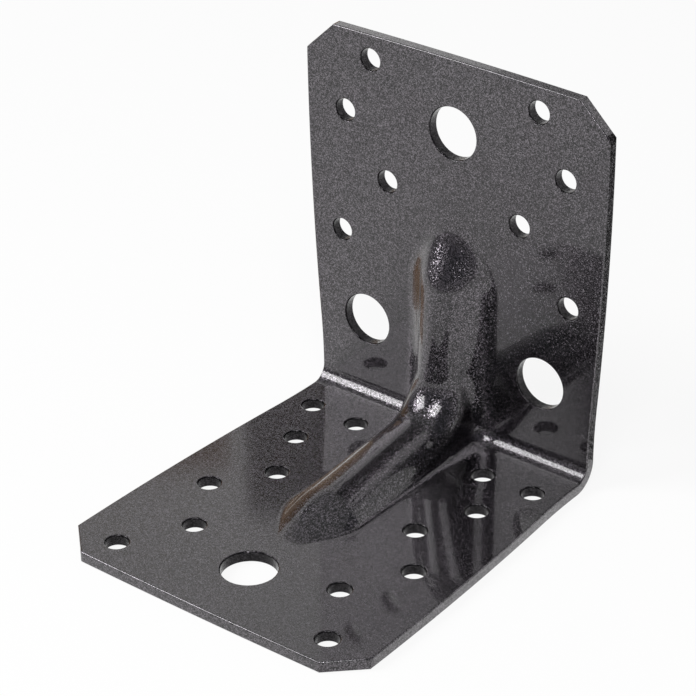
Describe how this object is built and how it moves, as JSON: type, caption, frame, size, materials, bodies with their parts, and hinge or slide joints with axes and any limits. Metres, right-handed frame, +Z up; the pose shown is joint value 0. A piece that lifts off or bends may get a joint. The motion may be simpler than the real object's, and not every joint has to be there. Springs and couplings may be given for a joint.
{
  "type": "heavy-duty angle bracket",
  "caption": "Angle bracket folded from thick sheet steel, stiffened by a rib pressed up across its corner, with bolt and nail holes for joining timber at right angles.",
  "frame": {"origin": "the heel: where the planes of the two outer faces cross, in the middle of the width", "axes": "+Z up along the wall leg, -Y out along the base leg, X across the width; the bracket stands on the base leg's outer face at Z = 0"},
  "size_m": [0.09, 0.1025, 0.105],
  "materials": {
    "coated_steel": "glossy dark metallic powder coat over sheet steel"
  },
  "bodies": {
    "root": {"bracket": "coated_steel"}
  },
  "joints": []
}
